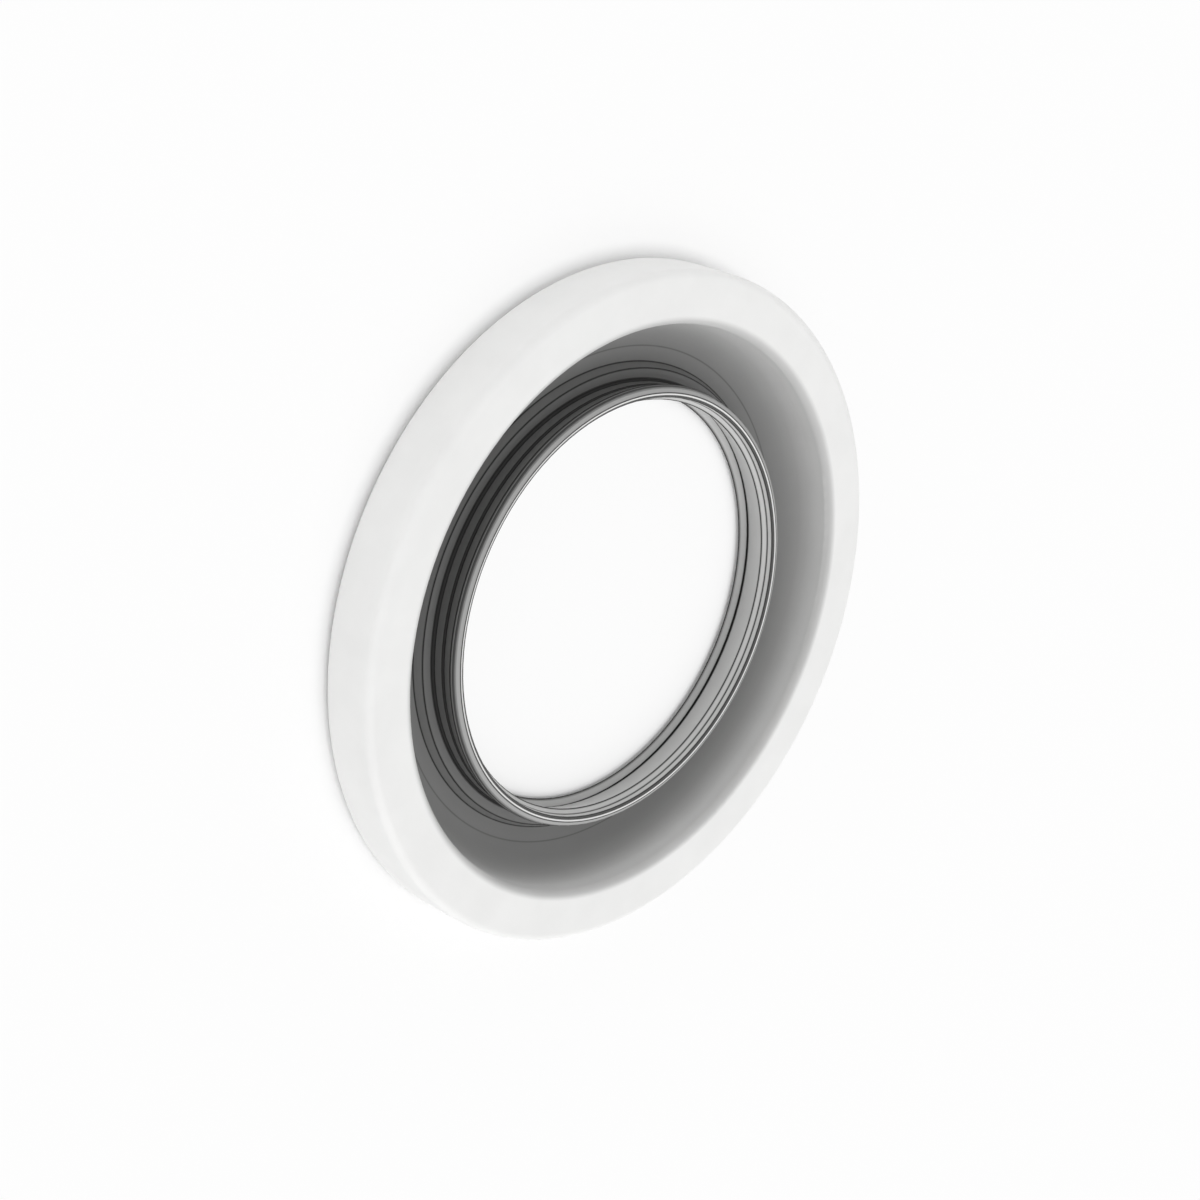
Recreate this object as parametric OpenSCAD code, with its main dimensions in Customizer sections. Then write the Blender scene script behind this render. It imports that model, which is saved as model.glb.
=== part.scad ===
// Shaft sealing ring, moulded in one piece from white rubber.
// It lies on its back face: Z is the shaft axis, z = 0 is the back face and the
// side with the bowl and the tip of the hub looks up. Sizes are in millimetres.
// One radial section carries the whole shape, and it is turned once round Z.
// The section is the outer body, less a bowl, plus the hub that stands in it.
// The edge of the main lip is the smallest diameter and seals on the shaft.
// The dust lip behind it keeps dirt away from that edge.
// The hub is laid out from the shaft outwards and from the floor upwards, so
// each size in it is a width or a rise from the point before.

/* [Fit] */
// Diameter of the shaft that turns in the lips
shaft_d = 50; // [30:1:120]
// Distance from the shaft's surface to the housing's bore
section_h = 15; // [14:0.5:22]
// Width of the ring along the shaft
width = 7.3; // [6.6:0.1:9]

/* [Outer body] */
// Rounding of the front and back outside edges
edge_r = 1; // [0.3:0.1:1.5]
// Width of the front face, from the outside to where it turns into the bowl
rim_w = 5.2; // [4:0.1:5.8]
// Rounding from the front face to the bowl's wall
mouth_r = 1; // [0.3:0.1:1.2]
// Lean of the bowl's wall away from the shaft axis, in degrees
wall_draft = 2; // [0:0.5:5]
// Concave rounding from the bowl's wall to its floor
bowl_r = 4.15; // [2:0.05:4.4]
// Thickness of the floor where it meets the hub
floor_t = 0.58; // [0.5:0.02:0.8]
// Rise of the floor away from the hub, in degrees
floor_rise = 5.7; // [0:0.1:8]

/* [Lips] */
// How far the free main lip's edge stands inside the shaft's surface
lip_grip = 0.41; // [0.1:0.01:0.5]
// Angle between the main lip's front flank and the shaft
flank_angle = 42.2; // [35:0.1:55]
// Angle between the cone behind the main lip and the shaft
cone_angle = 17.5; // [12:0.5:19]
// How far the free dust lip's edge stands inside the shaft's surface
dust_grip = 0.22; // [0.05:0.01:0.35]
// Height of the dust lip's edge above the back face
dust_lip_h = 0.3; // [0.2:0.01:0.4]
// Height of the bottom of the pocket between the two lips
pocket_h = 0.97; // [0.85:0.01:1.1]
// Depth of that pocket beyond the end of the cone
pocket_depth = 0.28; // [0.1:0.01:0.35]
// Rise from the pocket's bottom to the end of the cone
pocket_rise = 0.22; // [0.1:0.01:0.4]
// Gap between the shaft and the inner edge of the back face
back_gap = 0.3; // [0.1:0.01:0.5]

/* [Nose] */
// Gap between the shaft and the throat in front of the main lip
throat_gap = 0.14; // [0.08:0.01:0.3]
// Length of the throat
throat_l = 0.71; // [0.5:0.01:0.9]
// How much the throat narrows over its length
throat_taper = 0.06; // [0:0.01:0.08]
// Width of the bevel from the throat to the nose
bevel_w = 0.18; // [0.1:0.01:0.25]
// Height of that bevel
bevel_h = 0.15; // [0.05:0.01:0.25]
// Width of the nose's face, the foremost part of the hub
nose_w = 0.39; // [0.2:0.01:0.45]
// Fall of the nose's face from its ridge to its inner edge
nose_fall = 0.07; // [0:0.01:0.12]
// Width of the head from the nose's ridge to its widest place
head_w = 0.79; // [0.7:0.01:1]
// Slope of the head's front, falling away from the nose, in degrees
front_slope = 27; // [20:0.5:30]
// Rounding between the head's front and its side
tip_r = 0.36; // [0.2:0.01:0.4]

/* [Hub outside] */
// Rise of the step from the floor
step_rise = 0.99; // [0.7:0.01:1.2]
// Width of the step's slanted wall
step_run = 0.55; // [0.3:0.01:0.8]
// Width of the step's flat top, up to the foot of the neck
ledge_w = 1.25; // [0.6:0.01:1.6]
// Width of the slanted foot of the neck
neck_foot_w = 0.2; // [0.05:0.01:0.3]
// Rise of the slanted foot of the neck
neck_foot_rise = 0.3; // [0.1:0.01:0.4]
// Rise of the straight neck
neck_rise = 1.17; // [0.9:0.01:1.3]
// Height of the fine groove round the neck, from edge to edge
groove_w = 0.33; // [0.15:0.01:0.4]
// Depth of that groove
groove_depth = 0.12; // [0.05:0.01:0.2]
// How far the root of the head stands inside the neck
root_set_in = 0.07; // [0:0.01:0.1]
// Rise of the head from its root to its widest place
head_rise = 1.32; // [1.1:0.01:1.5]
// How far the neck stands inside the head's widest place
undercut = 0.35; // [0.1:0.01:0.45]
// Rise of the head's upright side above its widest place
side_rise = 0.34; // [0.2:0.01:0.4]
// How much that side draws in on its way up
side_draw = 0.09; // [0:0.01:0.12]

/* [Hidden] */

// Facets of a full turn in the preview
$fn = 180;
// How far the bowl's cut runs out past the front face
overrun = 1;

shaft_r = shaft_d / 2;
outer_r = shaft_r + section_h;
mouth_edge_r = outer_r - rim_w;

// Radii of the nose, from the shaft outwards
throat_r = shaft_r + throat_gap;
nose_bore_r = throat_r + bevel_w;
nose_r = nose_bore_r + nose_w;
head_r = nose_r + head_w;

// Radii of the hub's outside, from the head down to the floor
neck_r = head_r - undercut;
ledge_r = neck_r + neck_foot_w;
step_r = ledge_r + ledge_w;
step_foot_r = step_r + step_run;

// Heights of the hub's outside, from the floor up to the head
step_h = floor_t + step_rise;
neck_foot_h = step_h + neck_foot_rise;
groove_h = neck_foot_h + neck_rise;
root_h = groove_h + groove_w;
head_h = root_h + head_rise;
tip_h = head_h + side_rise;

// The head's rounding lies between its upright side and its sloping front
tip_side_r = head_r - side_draw;
tip_centre = [tip_side_r - tip_r, tip_h];
tip_end = tip_centre + tip_r * [sin(front_slope), cos(front_slope)];
nose_h = tip_end[1] + (tip_end[0] - nose_r) * tan(front_slope);

// The main lip hangs from the end of the throat, and its cone from its edge
lip_r = shaft_r - lip_grip;
throat_end = [throat_r - throat_taper, nose_h - nose_fall - bevel_h - throat_l];
lip_edge = [lip_r, throat_end[1] - (throat_end[0] - lip_r) / tan(flank_angle)];
cone_end_h = pocket_h + pocket_rise;
cone_end = [lip_r + (lip_edge[1] - cone_end_h) * tan(cone_angle), cone_end_h];

// Angle between the bowl's wall and the perpendicular of its floor
corner_angle = floor_rise + wall_draft;

// The mouth: centre and end of its rounding, a quarter turn less the draft
mouth_centre = [mouth_edge_r, width - mouth_r];
mouth_end = mouth_centre + mouth_r * [-cos(wall_draft), sin(wall_draft)];

// The floor's line starts at the foot of the hub's step
floor_start = [step_foot_r, floor_t];
floor_dir = [cos(floor_rise), sin(floor_rise)];
floor_normal = [-sin(floor_rise), cos(floor_rise)];
wall_normal = [-cos(wall_draft), sin(wall_draft)];

// The bowl's rounding touches both the floor and the wall
wall_gap = (floor_start - mouth_end) * wall_normal;
floor_run = (wall_gap - bowl_r * (1 - sin(corner_angle))) / cos(corner_angle);
floor_end = floor_start + floor_run * floor_dir;
bowl_centre = floor_end + bowl_r * floor_normal;
wall_end = bowl_centre - bowl_r * wall_normal;

// Slice of a circle from its centre out, for a rounding that ends at two given
// points. Corner is the point where the two straight lines would have met.
module rounding(centre, radius, start, corner, end) {
    intersection() {
        translate(centre) circle(radius);
        polygon([centre, start, corner, end]);
    }
}

// Section of the outer body and the thin floor, with both outside edges rounded
module body_section() {
    front_centre = [outer_r - edge_r, width - edge_r];
    back_centre = [outer_r - edge_r, edge_r];
    polygon([
        [step_foot_r, 0],
        [outer_r - edge_r, 0],
        back_centre,
        [outer_r, edge_r],
        [outer_r, width - edge_r],
        front_centre,
        [outer_r - edge_r, width],
        [step_foot_r, width]
    ]);
    rounding(
        front_centre, edge_r,
        [outer_r, width - edge_r], [outer_r, width], [outer_r - edge_r, width]
    );
    rounding(
        back_centre, edge_r,
        [outer_r - edge_r, 0], [outer_r, 0], [outer_r, edge_r]
    );
}

// Section of what the bowl takes out of the body, from the hub to its wall
module bowl_section() {
    difference() {
        polygon([
            [shaft_r, floor_t],
            floor_start,
            floor_end,
            bowl_centre,
            wall_end,
            mouth_end,
            mouth_centre,
            [mouth_edge_r, width],
            [mouth_edge_r, width + overrun],
            [shaft_r, width + overrun]
        ]);
        translate(mouth_centre) circle(mouth_r);
    }
    rounding(
        bowl_centre, bowl_r,
        floor_end,
        floor_end + bowl_r * tan((90 - corner_angle) / 2) * floor_dir,
        wall_end
    );
}

// Section of the hub with both lips, and the rounding of its head
module hub_section() {
    polygon([
        // outside, from the floor up to the nose
        floor_start,
        [step_r, step_h],
        [ledge_r, step_h],
        [neck_r, neck_foot_h],
        [neck_r, groove_h],
        [neck_r - groove_depth, groove_h + groove_w / 2],
        [neck_r - root_set_in, root_h],
        [head_r, head_h],
        [tip_side_r, tip_h],
        tip_centre,
        tip_end,
        [nose_r, nose_h],
        // inside, from the nose down past the main lip to the dust lip
        [nose_bore_r, nose_h - nose_fall],
        [throat_r, nose_h - nose_fall - bevel_h],
        throat_end,
        lip_edge,
        cone_end,
        [cone_end[0] + pocket_depth, pocket_h],
        [shaft_r - dust_grip, dust_lip_h],
        [shaft_r + back_gap, 0],
        [step_foot_r, 0]
    ]);
    rounding(
        tip_centre, tip_r,
        [tip_side_r, tip_h],
        tip_centre + tip_r * [1, tan((90 - front_slope) / 2)],
        tip_end
    );
}

// Whole section on one side of the shaft axis
module ring_section() {
    difference() {
        body_section();
        bowl_section();
    }
    hub_section();
}

module sealing_ring() {
    color("#f0efea")
        rotate_extrude(convexity = 6)
            ring_section();
}

sealing_ring();
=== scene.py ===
import bpy
from mathutils import Matrix, Vector


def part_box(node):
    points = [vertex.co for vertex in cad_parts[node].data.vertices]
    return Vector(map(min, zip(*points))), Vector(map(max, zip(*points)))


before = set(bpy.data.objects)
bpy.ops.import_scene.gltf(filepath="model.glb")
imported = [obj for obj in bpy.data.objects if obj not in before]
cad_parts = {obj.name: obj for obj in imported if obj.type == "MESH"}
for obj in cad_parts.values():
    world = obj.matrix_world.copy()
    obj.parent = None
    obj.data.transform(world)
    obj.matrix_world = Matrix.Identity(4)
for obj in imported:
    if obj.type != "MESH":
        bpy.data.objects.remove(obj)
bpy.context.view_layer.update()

MM = 0.001
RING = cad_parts["sealing_ring"]
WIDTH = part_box("sealing_ring")[1][2]


# Colour and nodes

# A Mix node has five sockets for numbers and vectors between its factor and its two
# colours, and two such outputs before its colour's
PAST_NUMBERS = (None,) * 5
COLOUR_OUT = 2
# Most of a noise texture's values lie between these
NOISE_SPAN = (0.3, 0.7)


def linear(hex_colour):
    """An sRGB hex colour as the linear RGBA that a socket takes."""
    parts = [int(hex_colour[i:i + 2], 16) / 255 for i in (1, 3, 5)]
    return [p / 12.92 if p <= 0.04045 else ((p + 0.055) / 1.055) ** 2.4 for p in parts] + [1.0]


def add(tree, kind, settings, *inputs, **named):
    """Adds a node. settings are its properties. inputs go to its sockets in order and
    named ones by name, each a value or another node's output. None leaves one alone."""
    node = tree.nodes.new(kind)
    for name, value in settings.items():
        setattr(node, name, value)
    pairs = list(zip(node.inputs, inputs))
    pairs += [(node.inputs[name.replace("_", " ")], value) for name, value in named.items()]
    for socket, value in pairs:
        if isinstance(value, bpy.types.NodeSocket):
            tree.links.new(value, socket)
        elif value is not None:
            socket.default_value = value
    return node


def empty_tree(owner):
    """Turns the nodes of a material or world on and clears them away."""
    owner.use_nodes = True
    owner.node_tree.nodes.clear()
    return owner.node_tree


def set_stops(ramp_node, stops, length):
    """Sets a ramp's stops to grey levels: (place from 0 to length, level) each."""
    ramp = ramp_node.color_ramp
    for place, level in stops[1:-1]:
        ramp.elements.new(place / length)
    for element, (place, level) in zip(ramp.elements, stops):
        element.position = place / length
        element.color = (level, level, level, 1)


def seen_white(tree):
    """1 where the camera sees a thing, straight, in a reflection or through glass, or 0."""
    path = add(tree, "ShaderNodeLightPath", {})
    straight = add(tree, "ShaderNodeMath", {"operation": "MAXIMUM"},
                   path.outputs["Is Camera Ray"], path.outputs["Is Glossy Ray"])
    return add(tree, "ShaderNodeMath", {"operation": "MAXIMUM"}, straight.outputs["Value"],
               path.outputs["Is Transmission Ray"]).outputs["Value"]


# White rubber

RUBBER_WHITES = ("#F3F3F2", "#F7F7F6")
# Near black, towards which the painted shade mixes the white
PAINTED_SHADE_GREY = "#1B1B1A"
CLOUDS_PER_M = 180.0
PEEL_PER_M = 2500.0
TURNING_RAD_PER_MM = 12.6
TURNING_SHARE = 0.15
BUMP_STRENGTH = 0.25
BUMP_DEPTH = 0.02 * MM
ROUGHNESS = (0.50, 0.60)

# How white the rubber stays under painted shade, from 1 on the outside down to 0 in a crease.
# In the trough it goes by the distance in millimetres from the hub's root, out over the floor
# and up the wall to the mouth. On the hub it goes by the height in millimetres above the back
# face.
HUB_ROOT = (26.3, 1.5, 0)
TROUGH_LENGTH = 10.0
TROUGH_SHADE_TONES = (
    (2.6, 0.23),    # floor
    (3.5, 0.25),
    (3.9, 0.24),    # start of the bowl's rounding
    (5.0, 0.28),
    (6.0, 0.34),
    (7.0, 0.50),
    (7.6, 0.65),
    (8.1, 0.76),    # wall
    (8.8, 0.75),
    (9.3, 0.63),    # rounding of the mouth
    (9.6, 0.62),
    (10.0, 0.70),
)
HUB_TOP = 6.0
BORE_SHADE_TONES = (
    (0.30, 0.66),   # edge of the dust lip
    (0.84, 0.72),
    (0.89, 0.00),   # pocket between the lips
    (1.32, 0.00),
    (1.38, 0.57),   # cone behind the main lip
    (4.10, 0.64),   # main lip's edge
    (4.60, 0.66),
    (5.34, 0.62),   # throat
    (5.40, 0.10),   # bevel
    (5.51, 0.12),
    (5.54, 1.00),   # face of the nose
)
HUB_SHADE_TONES = (
    (1.50, 0.22),
    (1.60, 0.03),   # crease at the foot of the neck
    (1.84, 0.03),
    (1.98, 0.19),   # neck
    (2.98, 0.19),
    (3.06, 0.02),   # groove under the head
    (3.34, 0.03),
    (3.46, 0.20),   # underside of the head
    (4.64, 0.23),
    (4.70, 0.03),   # side of the head
    (4.79, 0.03),
    (4.90, 0.24),
    (4.98, 0.30),
    (5.05, 0.14),
    (5.12, 0.09),   # its rounding
    (5.25, 0.12),
    (5.34, 0.36),
    (5.40, 0.47),   # sloping front
)

# Where one set of tones fades into the next, in millimetres of radius. The border of bore
# and hub leans inwards on its way up, from the pocket's bottom to the nose's ridge.
BORE_TO_HUB = (25.86, 25.93)
BORDER_LEAN = 0.04
HUB_TO_TROUGH = (26.51, 26.56)
TROUGH_TO_OUTSIDE = (34.20, 34.95)
# The heights in millimetres between which the grey ends at the white back
GREY_TO_BACK = (0.3, 0.2)

# Corners of the section, as radius and height in millimetres, where a fine grey line
# of painted shade runs round the ring. Then the line's half width, and how
# much of the white it takes. The lines are drawn wide enough
# to show.
CREASE_SHADE_LINES = (
    ((30.01, 0.77), 0.16, 0.40),   # where the floor turns up into the bowl
    ((28.15, 0.58), 0.18, 0.95),   # foot of the step
    ((27.60, 1.57), 0.20, 1.00),   # top of the step
    ((26.35, 1.57), 0.13, 0.90),   # foot of the neck
    ((26.15, 1.87), 0.13, 0.90),
    ((26.15, 3.04), 0.13, 0.95),   # groove under the head
    ((26.08, 3.37), 0.13, 0.95),
    ((26.50, 4.69), 0.13, 1.00),   # widest place of the head
    ((26.41, 5.03), 0.09, 0.75),   # start of its rounding
    ((26.21, 5.35), 0.10, 0.30),   # end of its rounding
    ((25.71, 5.61), 0.15, 1.00),   # ridge of the nose
    ((25.36, 5.55), 0.20, 1.00),   # bevel into the throat
    ((25.14, 5.39), 0.15, 1.00),
    ((25.09, 4.73), 0.20, 1.00),   # end of the throat
    ((24.62, 4.18), 0.20, 1.00),   # edge of the main lip
    ((25.52, 1.19), 0.40, 1.00),   # pocket between the lips
    ((24.78, 0.30), 0.40, 1.00),   # edge of the dust lip
)


def painted_shade_whiteness_of(tree, radius, height):
    """Painted shade: how white the rubber is, by its radius and height on the ring in
    millimetres.
    """
    # Painted shade: in the trough it is greyest by the hub's root and whitens up the bowl's
    # wall
    section = add(tree, "ShaderNodeCombineXYZ", {}, radius, height).outputs["Vector"]
    from_root = add(tree, "ShaderNodeVectorMath", {"operation": "DISTANCE"}, section, HUB_ROOT)
    part_out = add(tree, "ShaderNodeMath", {"operation": "DIVIDE"},
                   from_root.outputs["Value"], TROUGH_LENGTH)
    trough = add(tree, "ShaderNodeValToRGB", {}, part_out.outputs["Value"])
    trough.color_ramp.interpolation = "B_SPLINE"
    set_stops(trough, TROUGH_SHADE_TONES, TROUGH_LENGTH)

    # Painted shade up the hub, outside and in the bore
    part_up = add(tree, "ShaderNodeMath", {"operation": "DIVIDE"}, height, HUB_TOP)
    hub = add(tree, "ShaderNodeValToRGB", {}, part_up.outputs["Value"])
    set_stops(hub, HUB_SHADE_TONES, HUB_TOP)
    bore = add(tree, "ShaderNodeValToRGB", {}, part_up.outputs["Value"])
    set_stops(bore, BORE_SHADE_TONES, HUB_TOP)

    border = add(tree, "ShaderNodeMath", {"operation": "MULTIPLY_ADD"},
                 height, BORDER_LEAN, radius)
    past_bore = add(tree, "ShaderNodeMapRange", {}, border.outputs["Value"],
                    *BORE_TO_HUB, 0.0, 1.0)
    past_hub = add(tree, "ShaderNodeMapRange", {}, radius, *HUB_TO_TROUGH, 0.0, 1.0)
    past_mouth = add(tree, "ShaderNodeMapRange", {"interpolation_type": "SMOOTHSTEP"},
                     radius, *TROUGH_TO_OUTSIDE, 0.0, 1.0)
    past_back = add(tree, "ShaderNodeMapRange", {}, height, *GREY_TO_BACK, 0.0, 1.0)

    inner = add(tree, "ShaderNodeMix", {"data_type": "FLOAT"}, past_bore.outputs["Result"],
                None, bore.outputs["Color"], hub.outputs["Color"])
    middle = add(tree, "ShaderNodeMix", {"data_type": "FLOAT"}, past_hub.outputs["Result"],
                 None, inner.outputs["Result"], trough.outputs["Color"])
    outer = add(tree, "ShaderNodeMix", {"data_type": "FLOAT"}, past_mouth.outputs["Result"],
                None, middle.outputs["Result"], 1.0)
    whiteness = add(tree, "ShaderNodeMath", {"operation": "MAXIMUM"},
                    outer.outputs["Result"], past_back.outputs["Result"])
    # Each line darkens the white near its corner as painted shade
    for corner, half_width, strength in CREASE_SHADE_LINES:
        away = add(tree, "ShaderNodeVectorMath", {"operation": "DISTANCE"},
                   section, (*corner, 0))
        kept = add(tree, "ShaderNodeMapRange", {"interpolation_type": "SMOOTHSTEP"},
                   away.outputs["Value"], 0.0, half_width, 1 - strength, 1.0)
        whiteness = add(tree, "ShaderNodeMath", {"operation": "MULTIPLY"},
                        whiteness.outputs["Value"], kept.outputs["Result"])
    return whiteness.outputs["Value"]


def white_rubber():
    """White nitrile rubber, compression moulded against a turned steel mould. Its skin is
    matt with a faint orange peel. Its colour holds painted shade: it is painted grey in the
    trough, in the creases and on the lips, where shade falls."""
    material = bpy.data.materials.new("moulded_white_nitrile_rubber")
    tree = empty_tree(material)
    place = add(tree, "ShaderNodeTexCoord", {}).outputs["Object"]
    in_mm = add(tree, "ShaderNodeVectorMath", {"operation": "SCALE"},
                place, Scale=1 / MM).outputs["Vector"]
    height = add(tree, "ShaderNodeSeparateXYZ", {}, in_mm).outputs["Z"]
    flat = add(tree, "ShaderNodeVectorMath", {"operation": "MULTIPLY"}, in_mm, (1, 1, 0))
    radius = add(tree, "ShaderNodeVectorMath", {"operation": "LENGTH"},
                 flat.outputs["Vector"]).outputs["Value"]

    # Clouding of the white, a few millimetres across and barely there
    cloud = add(tree, "ShaderNodeTexNoise", {}, place,
                Scale=CLOUDS_PER_M, Detail=3.0, Roughness=0.5)
    clouding = add(tree, "ShaderNodeMapRange", {}, cloud.outputs["Fac"], *NOISE_SPAN, 0.0, 1.0)
    white = add(tree, "ShaderNodeMix", {"data_type": "RGBA"}, clouding.outputs["Result"],
                *PAST_NUMBERS, *(linear(colour) for colour in RUBBER_WHITES))
    # Painted shade: the white is mixed towards near black in the trough, creases and lips
    colour = add(tree, "ShaderNodeMix", {"data_type": "RGBA"},
                 painted_shade_whiteness_of(tree, radius, height),
                 *PAST_NUMBERS, linear(PAINTED_SHADE_GREY), white.outputs[COLOUR_OUT])

    # Orange peel of the moulded skin, drawn at 0.4 mm so that it shows
    peel = add(tree, "ShaderNodeTexNoise", {}, place,
               Scale=PEEL_PER_M, Detail=2.0, Roughness=0.6)
    # Turning lines of the mould, round the axis, drawn 0.5 mm apart so that they show
    along = add(tree, "ShaderNodeMath", {"operation": "ADD"}, radius, height)
    turned = add(tree, "ShaderNodeMath", {"operation": "MULTIPLY"},
                 along.outputs["Value"], TURNING_RAD_PER_MM)
    turning = add(tree, "ShaderNodeMath", {"operation": "SINE"}, turned.outputs["Value"])
    relief = add(tree, "ShaderNodeMath", {"operation": "MULTIPLY_ADD"},
                 turning.outputs["Value"], TURNING_SHARE, peel.outputs["Fac"])
    bump = add(tree, "ShaderNodeBump", {}, Strength=BUMP_STRENGTH, Distance=BUMP_DEPTH,
               Height=relief.outputs["Value"])
    dull = add(tree, "ShaderNodeMapRange", {}, peel.outputs["Fac"], *NOISE_SPAN, *ROUGHNESS)

    shader = add(tree, "ShaderNodeBsdfPrincipled", {}, Base_Color=colour.outputs[COLOUR_OUT],
                 Roughness=dull.outputs["Result"], Normal=bump.outputs["Normal"], IOR=1.52,
                 Specular_IOR_Level=0.25)
    add(tree, "ShaderNodeOutputMaterial", {}, Surface=shader.outputs["BSDF"])
    return material


RING.data.materials.clear()
RING.data.materials.append(white_rubber())


# Floor

FLOOR_SIZE = 4.0
FLOOR_HEIGHT = -0.1 * MM
# Reach of the shadow that keeps its depth where the ring touches the floor
CONTACT_REACH = 2 * MM
# How open to the sky the floor is where the lift starts and where it is full
OPEN_SKY = (0.5, 1.0)
FULL_LIFT = 0.8


def white_paper():
    """White background paper. Seen by the camera it is white, and its wide soft shadows
    are lifted towards white. The narrow one by the ring keeps its full depth."""
    material = bpy.data.materials.new("white_background_paper")
    tree = empty_tree(material)
    looked_at = seen_white(tree)
    whiter = add(tree, "ShaderNodeMix", {"data_type": "RGBA"}, looked_at,
                 *PAST_NUMBERS, linear("#E7E7E7"), linear("#FFFFFF"))
    matt = add(tree, "ShaderNodeBsdfDiffuse", {}, whiter.outputs[COLOUR_OUT])
    lifted = add(tree, "ShaderNodeEmission", {}, linear("#FFFFFF"), 1.0)
    open_sky = add(tree, "ShaderNodeAmbientOcclusion", {"samples": 8}, Distance=CONTACT_REACH)
    away = add(tree, "ShaderNodeMapRange", {}, open_sky.outputs["AO"],
               *OPEN_SKY, 0.0, FULL_LIFT)
    lift = add(tree, "ShaderNodeMath", {"operation": "MULTIPLY"},
               looked_at, away.outputs["Result"])
    both = add(tree, "ShaderNodeMixShader", {}, lift.outputs["Value"],
               matt.outputs["BSDF"], lifted.outputs["Emission"])
    add(tree, "ShaderNodeOutputMaterial", {}, both.outputs["Shader"])
    return material


bpy.ops.object.select_all(action="DESELECT")
bpy.ops.mesh.primitive_plane_add(size=FLOOR_SIZE, location=(0, 0, FLOOR_HEIGHT))
floor = bpy.context.object
floor.name = "studio_floor"
bpy.ops.object.transform_apply(location=True, rotation=True, scale=True)
floor.data.materials.append(white_paper())


# Light

# A white tent round the table, whiter towards its foot, and most of all at the foot on
# the side of the fill. One large soft lamp shines from high up, on the side of the
# picture's bottom edge. A level of 1 is white. The powers say how fast the foot's glow
# fades on its way up, and how narrow the lamp is.
TENT_LEVEL = 0.32
FOOT_LEVEL = 1.7
FOOT_POWER = 3.0
FILL_SHARE = 0.5
FILL_TOWARDS = (-0.77, 0.64, 0.0)
LAMP_LEVEL = 2.1
LAMP_POWER = 6.0
LAMP_TOWARDS = (0.312, -0.446, 0.839)

world = bpy.data.worlds.new("white_light_tent")
bpy.context.scene.world = world
tent = empty_tree(world)
towards = add(tent, "ShaderNodeTexCoord", {}).outputs["Generated"]
up = add(tent, "ShaderNodeSeparateXYZ", {}, towards).outputs["Z"]
down = add(tent, "ShaderNodeMath", {"operation": "SUBTRACT", "use_clamp": True}, 1.0, up)
foot = add(tent, "ShaderNodeMath", {"operation": "POWER"}, down.outputs["Value"], FOOT_POWER)
filled = add(tent, "ShaderNodeVectorMath", {"operation": "DOT_PRODUCT"}, towards, FILL_TOWARDS)
fill = add(tent, "ShaderNodeMath", {"operation": "MULTIPLY_ADD"},
           filled.outputs["Value"], FILL_SHARE, 1.0)
lit_foot = add(tent, "ShaderNodeMath", {"operation": "MULTIPLY"},
               foot.outputs["Value"], fill.outputs["Value"])
walls = add(tent, "ShaderNodeMath", {"operation": "MULTIPLY_ADD"},
            lit_foot.outputs["Value"], FOOT_LEVEL, TENT_LEVEL)
facing = add(tent, "ShaderNodeVectorMath", {"operation": "DOT_PRODUCT"}, towards, LAMP_TOWARDS)
inside = add(tent, "ShaderNodeMath", {"operation": "MAXIMUM"}, facing.outputs["Value"], 0.0)
soft = add(tent, "ShaderNodeMath", {"operation": "POWER"}, inside.outputs["Value"], LAMP_POWER)
light = add(tent, "ShaderNodeMath", {"operation": "MULTIPLY_ADD"},
            soft.outputs["Value"], LAMP_LEVEL, walls.outputs["Value"])
level = add(tent, "ShaderNodeMix", {"data_type": "FLOAT"}, seen_white(tent), None,
            light.outputs["Value"], 1.0)
glow = add(tent, "ShaderNodeBackground", {}, linear("#FFFFFF"), level.outputs["Result"])
add(tent, "ShaderNodeOutputWorld", {}, glow.outputs["Background"])


# Camera

# The ring lies on its back face, and the photograph looks at its front from 50
# degrees off the axis. The place is from the middle of the front face.
CAMERA_PLACE = Vector((-215.40, -0.03, 173.65)) * MM + Vector((0, 0, WIDTH))
CAMERA_RIGHT = Vector((0.59030, 0.38928, 0.70711))
CAMERA_UP = Vector((-0.24947, 0.92112, -0.29884))
CAMERA_BACK = Vector((-0.76766, 0.0, 0.64086))
FIELD_OF_VIEW = 0.48500
NEAREST = 0.01
FARTHEST = 10

lens = bpy.data.cameras.new("photograph_view")
lens.sensor_fit = "HORIZONTAL"
lens.angle = FIELD_OF_VIEW
lens.clip_start = NEAREST
lens.clip_end = FARTHEST
camera = bpy.data.objects.new("photograph_view", lens)
bpy.context.scene.collection.objects.link(camera)
turn = Matrix((CAMERA_RIGHT, CAMERA_UP, CAMERA_BACK)).transposed().to_4x4()
camera.matrix_world = Matrix.Translation(CAMERA_PLACE) @ turn
bpy.context.scene.camera = camera

bpy.context.scene.view_settings.view_transform = "Standard"
